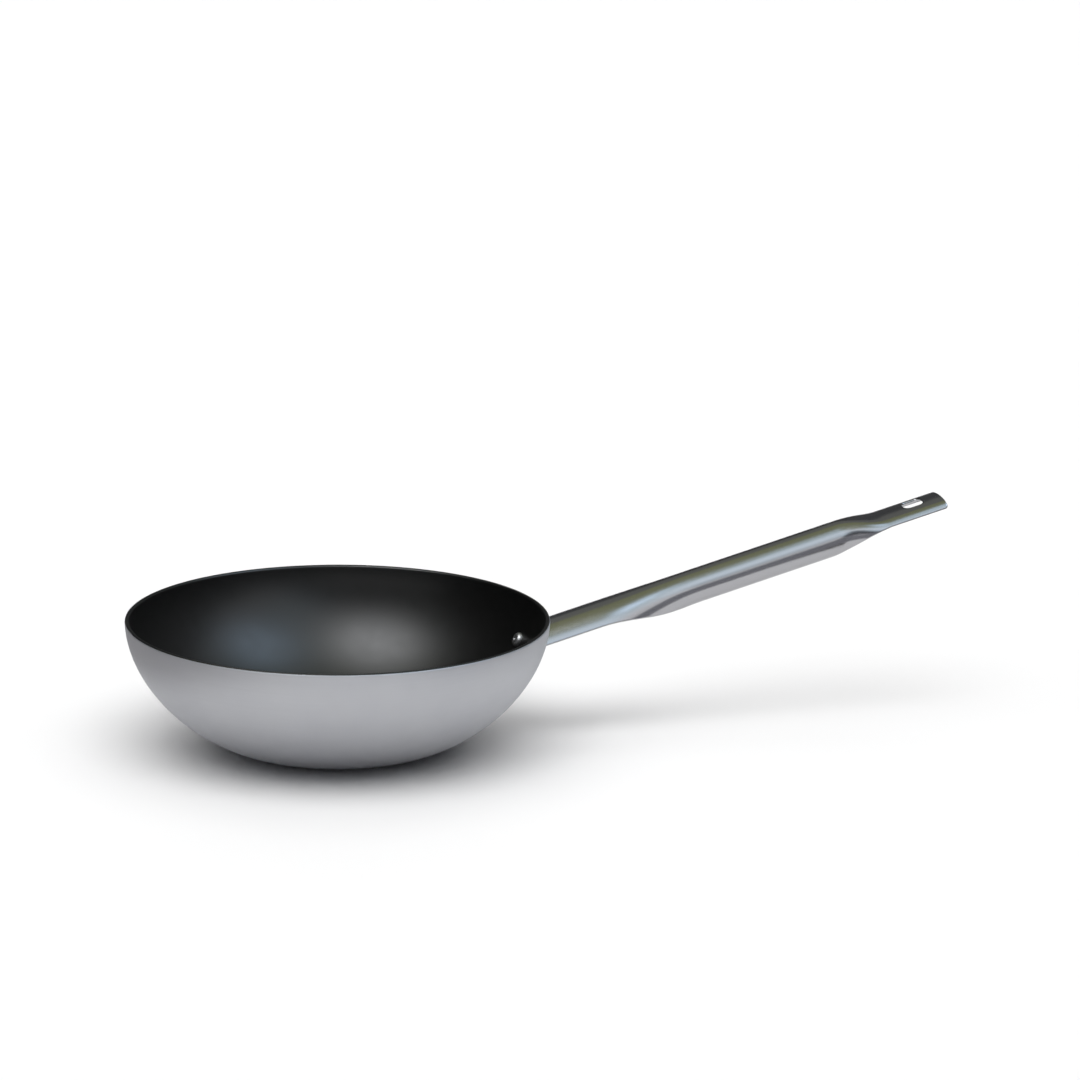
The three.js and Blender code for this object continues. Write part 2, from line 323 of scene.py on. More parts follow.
@dataclass(frozen=True)
class SpunAluminium(Finish):
    """Bare aluminium, spun on a lathe and left satin.

    The tool leaves fine rings round the axis. They spread reflections up and down the wall into a soft sheen,
    and show as faint lines where the light grazes them.
    """

    name: str = "spun_aluminium"
    shade: str = "#bebfc4"
    colour: str = "#c6c7ca"
    roughness: float = 0.6
    gloss_spread: float = 0.05
    anisotropy: float = 0.2
    ring_mm: float = 1.4  # real rings are about 0.2 mm apart: drawn coarser so that they show
    ring_depth_mm: float = 0.004
    cloud_mm: float = 35.0  # slow change of tone from uneven polishing

    def material(self) -> Material:
        """Build the node material.

        Returns:
            The finish.
        """
        material, tree, shader, mm = self.start({"Metallic": 1.0, "Anisotropic": self.anisotropy})
        level = add_node(tree, "ShaderNodeVectorMath", {"operation": "MULTIPLY"}, {1: (1, 1, 0)}, {0: mm})
        radius, bearing = (
            add_node(tree, "ShaderNodeVectorMath", {"operation": kind}, links={0: level.outputs[0]})
            for kind in ("LENGTH", "NORMALIZE")
        )
        height = add_node(tree, "ShaderNodeSeparateXYZ", links={0: mm})
        terms = {0: radius.outputs["Value"], 1: height.outputs["Z"]}
        run = add_node(tree, "ShaderNodeMath", {"operation": "ADD"}, links=terms).outputs[0]
        ring = add_node(tree, "ShaderNodeMath", {"operation": "DIVIDE"}, {1: self.ring_mm}, {0: run})
        ring_up = add_node(tree, "ShaderNodeCombineXYZ", links={"Z": ring.outputs[0]})
        terms = {0: bearing.outputs[0], 1: ring_up.outputs[0]}
        along = add_node(tree, "ShaderNodeVectorMath", {"operation": "ADD"}, links=terms).outputs[0]
        fine = {"Scale": 1.0, "Detail": 4.0, "Roughness": 0.6}
        lines = add_node(tree, "ShaderNodeTexNoise", values=fine, links={"Vector": along}).outputs["Fac"]
        slow = {"Scale": 1 / self.cloud_mm, "Detail": 2.0}
        clouds = add_node(tree, "ShaderNodeTexNoise", values=slow, links={"Vector": mm}).outputs["Fac"]
        self.drive(shader, clouds, lines, (lines, self.ring_depth_mm))
        around = add_node(tree, "ShaderNodeTangent", {"direction_type": "RADIAL", "axis": "Z"})
        tree.links.new(around.outputs[0], shader.inputs["Tangent"])
        return material


@dataclass(frozen=True)
class NonstickCoating(Finish):
    """Black fluoropolymer non-stick, sprayed on and baked.

    It dries with a very fine orange peel, so it stays black head on and shows wide soft patches of light.
    """

    name: str = "sprayed_fluoropolymer"
    shade: str = "#070707"
    colour: str = "#0b0b0b"
    roughness: float = 0.38
    gloss_spread: float = 0.04
    ior: float = 1.55
    peel_mm: float = 1.2  # real peel is about 0.4 mm: drawn coarser so that it shows
    peel_depth_mm: float = 0.006
    mottle_mm: float = 9.0

    def material(self) -> Material:
        """Build the node material.

        Returns:
            The finish.
        """
        material, tree, shader, mm = self.start({"Metallic": 0.0, "IOR": self.ior})
        fine = {"Scale": 1 / self.peel_mm, "Detail": 3.0, "Roughness": 0.55}
        peel = add_node(tree, "ShaderNodeTexNoise", values=fine, links={"Vector": mm}).outputs["Fac"]
        slow = {"Scale": 1 / self.mottle_mm, "Detail": 3.0}
        mottle = add_node(tree, "ShaderNodeTexNoise", values=slow, links={"Vector": mm}).outputs["Fac"]
        self.drive(shader, mottle, mottle, (peel, self.peel_depth_mm))
        return material


@dataclass(frozen=True)
class PolishedStainless(Finish):
    """Stainless steel sheet, pressed to shape and polished along its length.

    The press leaves a slow waviness that bends reflections, and the polish a fine grain along the handle that
    blurs them across it.
    """

    name: str = "polished_stainless"
    shade: str = "#a8a8ac"
    colour: str = "#b0b0b3"
    roughness: float = 0.2
    gloss_spread: float = 0.03
    grain_mm: float = 0.7  # real grain is about 0.1 mm across: drawn coarser so that it shows
    grain_length_mm: float = 60.0
    grain_depth_mm: float = 0.0006
    wave_mm: float = 24.0
    wave_depth_mm: float = 0.02

    def material(self) -> Material:
        """Build the node material.

        Returns:
            The finish.
        """
        material, tree, shader, mm = self.start({"Metallic": 1.0})
        scale = (1 / self.grain_length_mm, 1 / self.grain_mm, 1 / self.grain_mm)
        along = add_node(tree, "ShaderNodeVectorMath", {"operation": "MULTIPLY"}, {1: scale}, {0: mm})
        fine, at = {"Scale": 1.0, "Detail": 3.0, "Roughness": 0.6}, {"Vector": along.outputs[0]}
        grain = add_node(tree, "ShaderNodeTexNoise", values=fine, links=at).outputs["Fac"]
        slow = {"Scale": 1 / self.wave_mm, "Detail": 1.0}
        waves = add_node(tree, "ShaderNodeTexNoise", values=slow, links={"Vector": mm}).outputs["Fac"]
        self.drive(shader, grain, grain, (waves, self.wave_depth_mm), (grain, self.grain_depth_mm))
        return material


@dataclass(frozen=True)
class PressedAluminium(Finish):
    """Aluminium rivet, its head pressed by a steel die: bright, with fine dents and dull flecks."""

    name: str = "pressed_aluminium"
    shade: str = "#9a9a9c"
    colour: str = "#c6c6c8"
    roughness: float = 0.42
    gloss_spread: float = -0.08  # the dull flecks are the rougher places
    fleck_mm: float = 0.9
    dent_depth_mm: float = 0.01

    def material(self) -> Material:
        """Build the node material.

        Returns:
            The finish.
        """
        material, tree, shader, mm = self.start({"Metallic": 1.0})
        fine = {"Scale": 1 / self.fleck_mm, "Detail": 3.0}
        flecks = add_node(tree, "ShaderNodeTexNoise", values=fine, links={"Vector": mm}).outputs["Fac"]
        self.drive(shader, flecks, flecks, (flecks, self.dent_depth_mm))
        return material


# Bowl


@dataclass
class Wall:
    """Profile of the bowl's wall: one cubic curve from the edge of the flat base to the rim."""

    rim_radius: float = 140.0
    rim_height: float = 86.5
    base_radius: float = 50.0
    base_ease: float = 38.0
    rim_ease: float = 44.0
    rim_flare: float = radians(2.5)
    thickness: float = 3.0
    wall_steps: int = 96
    lip_steps: int = 24
    corners: np.ndarray = field(init=False)

    def __post_init__(self) -> None:
        """Work out the curve's four control points."""
        top = self.rim_height - self.lip_radius * (1 + sin(self.rim_flare))
        lean = np.array([sin(self.rim_flare), cos(self.rim_flare)])
        base = np.array([self.base_radius, 0.0])
        rim = np.array([self.rim_radius, top])
        self.corners = np.array([base, base + (self.base_ease, 0.0), rim - self.rim_ease * lean, rim])

    @property
    def lip_radius(self) -> float:
        """Radius of the rounded lip."""
        return self.thickness / 2

    def at(self, share: float, inset: float = 0.0) -> tuple[np.ndarray, np.ndarray]:
        """Find a point of the wall.

        Args:
            share: Place on the curve, 0 at the base and 1 at the rim.
            inset: Distance from the outside into the bowl.

        Returns:
            Radius and height of the point, and the direction into the bowl there.
        """
        a, b, c, d = self.corners
        t, s = share, 1 - share
        point = s**3 * a + 3 * t * s**2 * b + 3 * t**2 * s * c + t**3 * d
        tangent = s**2 * (b - a) + 2 * t * s * (c - b) + t**2 * (d - c)
        tangent = tangent / np.linalg.norm(tangent)
        inward = np.array([-tangent[1], tangent[0]])
        return point + inset * inward, inward

    def face(self, inset: float) -> Profile:
        """List points of the face at an inset, from the axis over the flat base and up to the rim."""
        curve = [tuple(self.at(share, inset)[0]) for share in steps(0, 1, self.wall_steps)]
        return [(0.0, inset), (self.base_radius / 2, inset), *curve]

    def lip(self, radius: float, start: float, stop: float) -> Profile:
        """List points round the lip, where angle 0 is its outer edge and a half turn its inner edge.

        Args:
            radius: Distance from the lip's centre.
            start: First angle.
            stop: Last angle.

        Returns:
            The points.
        """
        centre, inward = self.at(1, self.lip_radius)
        up = np.array([inward[1], -inward[0]])
        angles = steps(start, stop, self.lip_steps)
        return [tuple(centre + radius * (sin(a) * up - cos(a) * inward)) for a in angles]

    def at_height(self, height: float, inset: float = 0.0) -> tuple[float, np.ndarray]:
        """Find the wall's radius at a height, on the surface that lies at an inset.

        Args:
            height: Height above the base.
            inset: Distance from the outside into the bowl; negative is outside it.

        Returns:
            The radius there and the direction into the bowl.
        """
        share, _ = search(0.0, 1.0, lambda part: self.at(part, inset)[0][1] < height)
        point, inward = self.at(share, inset)
        return float(point[0]), inward

    def holds(self, point: Vector, inset: float) -> bool:
        """Tell whether a point lies inside the face at an inset, which runs straight up past the lip."""
        radius, _ = self.at_height(min(point.z, self.rim_height - self.thickness), inset)
        return hypot(point.x, point.y) < radius


def outward(inward: np.ndarray, azimuth: float) -> Vector:
    """Find the direction out of the wall at an azimuth, from its profile's direction into the bowl."""
    return Vector((-inward[0] * cos(azimuth), -inward[0] * sin(azimuth), -inward[1]))


@dataclass
class Bowl:
    """The spun bowl and the non-stick coating inside it and over its lip."""

    wall: Wall
    coat: float = 0.12
    coat_edge: float = radians(40)  # the coating stops here on the lip, from its outer edge
    coat_taper: float = radians(12)  # and has its full thickness this much further in
    coat_crease: float = 80.0  # degrees
    segments: int = 224

    def build(self, metal: Material, nonstick: Material) -> None:
        """Make the bowl and its coating.

        Args:
            metal: Finish of the bare outside.
            nonstick: Finish of the coating.
        """
        wall, radius = self.wall, self.wall.lip_radius
        inside = wall.face(wall.thickness)
        profile = [*wall.face(0.0), *wall.lip(radius, 0, pi)[1:-1], *reversed(inside)]
        shell = make_mesh("bowl_shell", *turn(profile, self.segments))
        dress(shell, metal, Slot.ALUMINIUM, "bowl")
        profile = [
            *inside,
            *wall.lip(radius, pi, self.coat_edge)[1:],
            *wall.lip(radius + self.coat, self.coat_edge + self.coat_taper, pi)[:-1],
            *reversed(wall.face(wall.thickness + self.coat)),
        ]
        coat = make_mesh("nonstick_coat", *turn(profile, self.segments), crease=self.coat_crease)
        dress(coat, nonstick, Slot.NONSTICK, "nonstick_lining")


# Rivets


@dataclass
class Rivets:
    """The two rivets that hold the handle's flange: a dimpled head inside and a low head outside."""

    wall: Wall
    spacing: float = 24.0
    depth: float = 29.4  # below the rim
    shank_radius: float = 2.5
    inner_seat: float = -2.9  # along the rivet from the wall's outside, a little below the coating's face
    inner_head_radius: float = 5.0
    inner_head_height: float = 3.0
    dimple_radius: float = 1.9
    dimple_depth: float = 0.8
    outer_seat: float = 1.3
    outer_head_radius: float = 4.2
    outer_head_height: float = 1.7
    crease: float = 50.0  # degrees
    segments: int = 64
    head_steps: int = 14

    def profile(self) -> Profile:
        """Draw one rivet along its axis, from the dimple out round the heads to the middle of the outer one.

        Returns:
            The profile.
        """
        face = self.inner_seat - self.inner_head_height
        points: Profile = []
        for share in steps(0, 1, self.head_steps):
            fall = 1 - smoothstep(share, 0, 1)
            points.append((self.dimple_radius * share, face + self.dimple_depth * fall))
        for angle in steps(0, QUARTER, self.head_steps)[1:]:
            radius = lerp(self.dimple_radius, self.inner_head_radius, sin(angle))
            points.append((radius, self.inner_seat - self.inner_head_height * cos(angle)))
        points += [(self.shank_radius, self.inner_seat), (self.shank_radius, self.outer_seat)]
        for angle in steps(0, QUARTER, self.head_steps):
            radius = self.outer_head_radius * cos(angle)
            points.append((radius, self.outer_seat + self.outer_head_height * sin(angle)))
        return points

    def frame(self, side: Side) -> Matrix:
        """Work out one rivet's frame: on the wall's outside, +Z straight out of it.

        Args:
            side: Side of the handle's line.

        Returns:
            The rivet's frame in the part's.
        """
        height = self.wall.rim_height - self.depth
        radius, inward = self.wall.at_height(height)
        azimuth = side.value * asin(self.spacing / 2 / radius)
        out, across = outward(inward, 0.0), Vector((0, 1, 0))
        axes = Matrix((across, out.cross(across), out)).transposed().to_4x4()
        return Matrix.Rotation(azimuth, 4, "Z") @ Matrix.Translation((radius, 0, height)) @ axes

    def build(self, metal: Material) -> None:
        """Make both rivets.

        Args:
            metal: Finish of the rivets.
        """
        for side, node in ((Side.NEAR, "rivet_near"), (Side.FAR, "rivet_far")):
            points, faces = turn(self.profile(), self.segments)
            frame_here = self.frame(side)
            rivet = make_mesh(f"{node}_heads", [frame_here @ p for p in points], faces, self.crease)
            dress(rivet, metal, Slot.RIVET, node)


# Handle


class SheetMesh:
    """Collects both faces of a sheet from points of its middle surface.

    The faces meet where the sheet's thickness is nothing.
    """

    def __init__(self) -> None:
        """Start with no points."""
        self.points: list[Vector] = []
        self.faces: Faces = []

    def add(self, middle: Vector, normal: Vector, half: float) -> Twin:
        """Add one point of the sheet.

        Args:
            middle: Place on the middle surface.
            normal: Direction out of the upper face.
            half: Half of the sheet's thickness there.

        Returns:
            The point's number on the upper and on the lower face.
        """
        first = len(self.points)
        if half < NOTHING:
            self.points.append(middle)
            return first, first
        self.points += [middle + normal * half, middle - normal * half]
        return first, first + 1

    def quad(self, *corners: Twin) -> None:
        """Add one quad to the upper face, counter-clockwise, and its twin to the lower face."""
        self.faces.append(tuple(dict.fromkeys(c[0] for c in corners)))
        self.faces.append(tuple(dict.fromkeys(c[1] for c in reversed(corners))))

    def close(self, first: Twin, second: Twin) -> None:
        """Close the gap between the faces along one edge."""
        self.faces.append((second[0], first[0], first[1], second[1]))


def round_edge(depth: float, radius: float) -> float:
    """Work out how far a round edge has opened at a depth: nothing at its tip, its radius at full depth."""
    depth = min(max(depth, 0.0), radius)
    return sqrt(max(radius**2 - (radius - depth) ** 2, 0.0))


def edge_steps(radius: float, count: int) -> list[float]:
    """List the depths at which a round edge is drawn, from its tip to its radius."""
    return [radius * (1 - cos(angle)) for angle in steps(0, QUARTER, count)]


def past_outline(x: float, y: float, corner: float) -> float:
    """Find how far a point lies outside a box with round corners, by its place past a corner's middle."""
    return hypot(max(x, 0.0), max(y, 0.0)) + min(max(x, y), 0.0) - corner


@dataclass(frozen=True)
class Bend:
    """One of the forms that the handle's sheet is bent to: a crown with an arc on either side."""

    crown: float  # half width
    radius: float
    arc: float


@dataclass(frozen=True)
class Section:
    """The sheet's section at one place: the crown's half width and curvature, and the arc beside it."""

    crown: float
    arch: float
    curvature: float
    arc: float
    drop: float

    @property
    def half_width(self) -> float:
        """Length round the outer face from the middle to the edge."""
        return self.crown + self.arc

    def at(self, across: float) -> tuple[float, float, float]:
        """Find a point of the outer face.

        Args:
            across: Length round the face from the middle, with a sign for the side.

        Returns:
            Sideways place, height, and the angle of the face's normal from the vertical.
        """
        run = abs(across)
        on_crown = min(run, self.crown)
        tilt = on_crown * self.arch
        chord = 2 * sin(tilt / 2) / self.arch if tilt > 0 else on_crown
        end = tilt + (run - on_crown) * self.curvature
        side = chord * cos(tilt / 2) + (sin(end) - sin(tilt)) / self.curvature
        height = (cos(end) - cos(tilt)) / self.curvature - chord * sin(tilt / 2)
        sign = copysign(1.0, across)
        return sign * side, height - self.drop, sign * end


@dataclass(frozen=True)
class HandleSteps:
    """Numbers of parts that the handle's mesh is split into."""

    neck: int = 8
    roll: int = 44
    grip: int = 14
    run_out: int = 52
    flat: int = 4  # on the tail, before the slot's patch and after it
    slot: int = 20
    corner: int = 10
    edge: int = 5
    patch: int = 8  # from the tail's middle to the side of the slot's patch
    arcs: int = 26  # from there to the sheet's edge
    rings: int = 3  # from the border of the slot's patch in to the slot's edge
    flange_corner: int = 12
    flange_height: int = 8
    flange_side: int = 12
    fillet: int = 48  # from one foot of the neck to the other
    fillet_curve: int = 8


@dataclass
class Handle:
    """The sheet-steel handle: root flange, arched neck, rolled grip and flat tail with a hanging slot."""

    wall: Wall
    rivets: Rivets
    sheet: float = 1.5
    pitch: float = radians(14.1)
    crown_depth: float = 13.8  # below the rim, where the crown line meets the wall
    neck: Bend = Bend(0.0, 20.0, radians(65))
    grip: Bend = Bend(0.0, 11.5, radians(150))
    tail: Bend = Bend(10.0, 9.5, radians(62))
    tail_arch: float = 45.0  # radius of the tail's shallow crown
    tail_drop: float = 4.9
    neck_length: float = 39.0
    roll_length: float = 74.0
    grip_length: float = 92.0
    trim_length: float = 46.0
    flatten_delay: float = 10.0
    flatten_length: float = 34.0
    tail_length: float = 40.5
    tail_corner: float = 2.5
    slot_length: float = 13.5
    slot_width: float = 13.0
    slot_corner: float = 4.0
    slot_margin: float = 13.0
    slot_border: float = 3.0  # width of the patch of mesh round the slot
    flange_seat: float = 0.02
    flange_margin: float = 7.0
    flange_rise: float = 3.0
    flange_corner: float = 6.0
    flange_plain: float = 0.9  # share of the flange's half width that is clear of its round edge
    fillet_crown: float = 2.2
    fillet_foot: float = 0.7
    fillet_bury: float = 0.6  # share of half the sheet by which the fillet's back lies inside the metal
    root_range: tuple[float, float] = (-40.0, 30.0)  # distances between which the neck meets the wall
    crease: float = 60.0  # degrees
    counts: HandleSteps = HandleSteps()
    mesh: SheetMesh = field(init=False, default_factory=SheetMesh)
    frame: Matrix = field(init=False)

    def __post_init__(self) -> None:
        """Work out the handle's own frame: X along the crown line, Y across, Z up from the crown."""
        along = Vector((cos(self.pitch), 0, sin(self.pitch)))
        across = Vector((0, 1, 0))
        height = self.wall.rim_height - self.crown_depth
        radius, _ = self.wall.at_height(height)
        axes = Matrix((along, across, along.cross(across))).transposed().to_4x4()
        self.frame = Matrix.Translation((radius, 0, height)) @ axes

    @property
    def half(self) -> float:
        """Half of the sheet's thickness."""
        return self.sheet / 2

    @property
    def grip_start(self) -> float:
        """Distance from the wall at which the neck has become the grip."""
        return self.neck_length + self.roll_length

    @property
    def trim_start(self) -> float:
        """Distance at which the grip's sides begin to run out."""
        return self.grip_start + self.grip_length

    @property
    def tail_start(self) -> float:
        """Distance at which the tail is flat."""
        return self.trim_start + max(self.trim_length, self.flatten_delay + self.flatten_length)

    @property
    def end(self) -> float:
        """Distance of the tail's end."""
        return self.tail_start + self.tail_length

    @property
    def slot_centre(self) -> float:
        """Distance of the hanging slot's middle."""
        return self.end - self.slot_margin - self.slot_length / 2

    @property
    def patch(self) -> tuple[float, float]:
        """Half length and half width of the patch of mesh round the slot."""
        return self.slot_length / 2 + self.slot_border, self.slot_width / 2 + self.slot_border

    def section(self, distance: float) -> Section:
        """Work out the sheet's section at one place.

        Args:
            distance: Distance along the crown line from the wall.

        Returns:
            The section there.
        """
        roll = smoothstep(distance, self.neck_length, self.grip_start)
        trim = smoothstep(distance, self.trim_start, self.trim_start + self.trim_length)
        flatten_start = self.trim_start + self.flatten_delay
        flatten = smoothstep(distance, flatten_start, flatten_start + self.flatten_length)
        neck, grip, tail = self.neck, self.grip, self.tail
        crown = lerp(lerp(neck.crown, grip.crown, roll), tail.crown, flatten)
        curvature = lerp(lerp(1 / neck.radius, 1 / grip.radius, roll), 1 / tail.radius, flatten)
        arc = lerp(lerp(neck.radius * neck.arc, grip.radius * grip.arc, roll), tail.radius * tail.arc, trim)
        arch = flatten / self.tail_arch
        arc -= crown * arch / curvature
        return Section(crown, arch, curvature, arc, self.tail_drop * flatten)

    def place(self, spot: Spot, lift: float = 0.0) -> tuple[Vector, Vector]:
        """Find a place of the bent sheet in the part's frame.

        Args:
            spot: The place on the sheet.
            lift: Distance out of the outer face.

        Returns:
            The point and the direction out of the face.
        """
        side, height, angle = self.section(spot[0]).at(spot[1])
        normal = Vector((0, sin(angle), cos(angle)))
        local = Vector((spot[0], side, height)) + normal * lift
        return self.frame @ local, self.frame.to_3x3() @ normal

    def meet(self, across: float, inset: float) -> float:
        """Find the distance at which one line of the neck meets the wall's face at an inset."""
        return search(*self.root_range, lambda d: self.wall.holds(self.place((d, across))[0], inset))[0]

    def slot_depth(self, spot: Spot) -> float:
        """Find how far a place of the tail lies outside the slot."""
        x, y = abs(spot[0] - self.slot_centre) - self.slot_length / 2, abs(spot[1]) - self.slot_width / 2
        return past_outline(x + self.slot_corner, y + self.slot_corner, self.slot_corner)

    def from_slot(self, spot: Spot, share: float) -> Spot:
        """Find the place at a share of the way from the slot's middle to another place."""
        return lerp(self.slot_centre, spot[0], share), spot[1] * share

    def slot_share(self, spot: Spot, depth: float) -> float:
        """Find the share of the way from the slot's middle to a place at which its edge is so far off."""
        return search(0.0, 1.0, lambda share: self.slot_depth(self.from_slot(spot, share)) < depth)[1]

    def edge_depth(self, spot: Spot) -> float:
        """Find how far a place of the sheet lies from its nearest free edge.

        Args:
            spot: The place.

        Returns:
            Distance from the edge.
        """
        side, corner = self.section(spot[0]).half_width - abs(spot[1]), self.tail_corner
        outline = -past_outline(corner - side, corner - (self.end - spot[0]), corner)
        return min(outline, self.slot_depth(spot))

    def inner_width(self, distance: float) -> float:
        """Find the half width of the sheet's outline, drawn in at the tail's round corners."""
        inset = self.tail_corner - round_edge(self.end - distance, self.tail_corner)
        return self.section(distance).half_width - inset

    def in_patch(self, spot: Spot) -> bool:
        """Tell whether a place of the sheet lies in the patch of mesh round the slot or on its border."""
        length, width = self.patch
        return abs(spot[0] - self.slot_centre) < length + SLACK and abs(spot[1]) < width + SLACK

    def stations(self) -> list[float]:
        """List the distances of the sheet's rings after the neck, closer together where it bends.

        Returns:
            The distances, up to the tail's end.
        """
        counts, end = self.counts, self.end
        slot_start, slot_stop = (self.slot_centre + sign * self.patch[0] for sign in (-1, 1))
        kept = spaced(
            [
                *steps(self.neck_length, self.grip_start, counts.roll),
                *steps(self.grip_start, self.trim_start, counts.grip),
                *steps(self.trim_start, self.tail_start, counts.run_out),
                *steps(self.tail_start, slot_start, counts.flat),
                *steps(slot_start, slot_stop, counts.slot),
                *steps(slot_stop, end - self.tail_corner, counts.flat),
                *(end - depth for depth in edge_steps(self.tail_corner, counts.corner)),
                *(end - depth for depth in edge_steps(self.half, counts.edge)),
            ]
        )
        return [*kept[:-1], end]

    def shares(self) -> list[float]:
        """List places across the sheet: the slot's patch, the arcs and the round edges.

        Returns:
            Shares of the half width, from one edge to the other.
        """
        width = self.section(self.tail_start).half_width
        patch = self.patch[1] / width
        edge = [1 - depth / width for depth in edge_steps(self.half, self.counts.edge)]
        plain = [*steps(0, patch, self.counts.patch), *steps(patch, edge[-1], self.counts.arcs)]
        return mirrored([*plain, *edge])

    def add_point(self, spot: Spot) -> Twin:
        """Add one point of the sheet at its thickness there."""
        half = round_edge(self.edge_depth(spot), self.half)
        return self.mesh.add(*self.place(spot, -self.half), half)

    def build_sheet(self) -> None:
        """Add the bent sheet, from inside the flange to the end of the tail, with its slot left open."""
        shares = self.shares()
        neck_width = self.section(0.0).half_width
        starts = [self.meet(share * neck_width, -self.half) for share in shares]
        rows: Rows = []
        for part in steps(0, 1, self.counts.neck)[:-1]:
            rows.append([(lerp(s, self.neck_length, part), f * neck_width) for s, f in zip(starts, shares)])
        rows += [[(d, f * self.inner_width(d)) for f in shares] for d in self.stations()]
        grid = [[self.add_point(spot) for spot in row] for row in rows]
        hole: list[tuple[int, int]] = []
        for i in range(len(rows) - 1):
            for j in range(len(shares) - 1):
                corners = [(i, j), (i + 1, j), (i + 1, j + 1), (i, j + 1)]
                if all(self.in_patch(rows[a][b]) for a, b in corners):
                    hole.append((i, j))
                else:
                    self.mesh.quad(*(grid[a][b] for a, b in corners))
        for first, second in zip(grid[0], grid[0][1:]):
            self.mesh.close(first, second)
        self.build_slot(rows, grid, hole)

    def build_slot(self, rows: Rows, grid: list[list[Twin]], hole: list[tuple[int, int]]) -> None:
        """Fill the patch round the slot with rings that run in to the slot's round edge.

        Args:
            rows: Place of every point of the sheet's grid.
            grid: The same points in the mesh.
            hole: Cells of the grid that the patch leaves out.
        """
        first_i, last_i = min(h[0] for h in hole), max(h[0] for h in hole) + 1
        first_j, last_j = min(h[1] for h in hole), max(h[1] for h in hole) + 1
        border = [(i, first_j) for i in range(first_i, last_i)]
        border += [(last_i, j) for j in range(first_j, last_j)]
        border += [(i, last_j) for i in range(last_i, first_i, -1)]
        border += [(first_i, j) for j in range(last_j, first_j, -1)]
        ring = [grid[i][j] for i, j in border]
        depths = list(reversed(edge_steps(self.half, self.counts.edge)))
        rings = self.counts.rings
        for step in range(1, rings + len(depths)):
            inner: list[Twin] = []
            for i, j in border:
                share = self.slot_share(rows[i][j], depths[max(step - rings, 0)])
                if step < rings:
                    share = lerp(1.0, share, step / rings)
                inner.append(self.add_point(self.from_slot(rows[i][j], share)))
            for corners in zip(ring, ring[1:] + ring[:1], inner[1:] + inner[:1], inner):
                self.mesh.quad(*corners)
            ring = inner

    def build_flange(self) -> None:
        """Add the root flange: a plate bent to the wall, with a rounded outline."""
        corner, counts = self.flange_corner, self.counts
        top = self.wall.rim_height - self.crown_depth + self.flange_rise
        bottom = self.wall.rim_height - self.rivets.depth - self.flange_margin
        half_width = self.rivets.spacing / 2 + self.flange_margin
        edge = edge_steps(self.half, counts.edge)
        reach = spaced([*edge, *edge_steps(corner, counts.flange_corner)])
        heights = [
            *(bottom + depth for depth in reach),
            *steps(bottom + corner, top - corner, counts.flange_height)[1:-1],
            *(top - depth for depth in reversed(reach)),
        ]
        plain = steps(0, self.flange_plain, counts.flange_side)
        shares = mirrored([*plain, *(1 - depth / half_width for depth in edge)])
        middle = -(self.flange_seat + self.half)
        grid: list[list[Twin]] = []
        for height in heights:
            end = min(height - bottom, top - height)
            inset = corner - round_edge(end, corner)
            radius, inward = self.wall.at_height(height, middle)
            row: list[Twin] = []
            for share in shares:
                across = share * (half_width - inset)
                depth = -past_outline(corner - (half_width - abs(across)), corner - end, corner)
                azimuth = asin(across / radius)
                point = Vector((radius * cos(azimuth), across, height))
                row.append(self.mesh.add(point, outward(inward, azimuth), round_edge(depth, self.half)))
            grid.append(row)
        for low, high in zip(grid, grid[1:]):
            for corners in zip(low, low[1:], high[1:], high):
                self.mesh.quad(*corners)

    def build_fillet(self) -> None:
        """Add the rounded root where the neck's outer face turns into the flange."""
        mesh = self.mesh
        front = -(self.flange_seat + self.sheet)
        along = self.frame.to_3x3() @ Vector((1, 0, 0))
        neck_width = self.section(0.0).half_width - self.half
        bury = self.half * self.fillet_bury
        loops: list[list[int]] = []
        for share in steps(-1, 1, self.counts.fillet):
            across = share * neck_width
            size = lerp(self.fillet_crown, self.fillet_foot, share**2)
            root, normal = self.place((self.meet(across, front), across))
            _, inward = self.wall.at_height(root.z, front)
            out = outward(inward, atan2(root.y, root.x))
            away = (normal - out * normal.dot(out)).normalized()
            on_neck, on_flange = root + along * size, root + away * size
            first = len(mesh.points)
            for t in steps(0, 1, self.counts.fillet_curve):
                mesh.points.append(on_neck * (1 - t) ** 2 + root * (2 * t * (1 - t)) + on_flange * t**2)
            mesh.points.append(root - normal * bury - out * bury)
            loops.append(list(range(first, len(mesh.points))))
        for low, high in zip(loops, loops[1:]):
            mesh.faces += zip(low, low[1:] + low[:1], high[1:] + high[:1], high)
        mesh.faces += [tuple(reversed(loops[0])), tuple(loops[-1])]

    def build(self, steel: Material) -> None:
        """Make the whole handle as one piece.

        Args:
            steel: Finish of the sheet.
        """
        self.build_sheet()
        self.build_flange()
        self.build_fillet()
        handle = make_mesh("handle_sheet", self.mesh.points, self.mesh.faces, crease=self.crease)
        dress(handle, steel, Slot.STEEL, "handle")


# Studio and camera


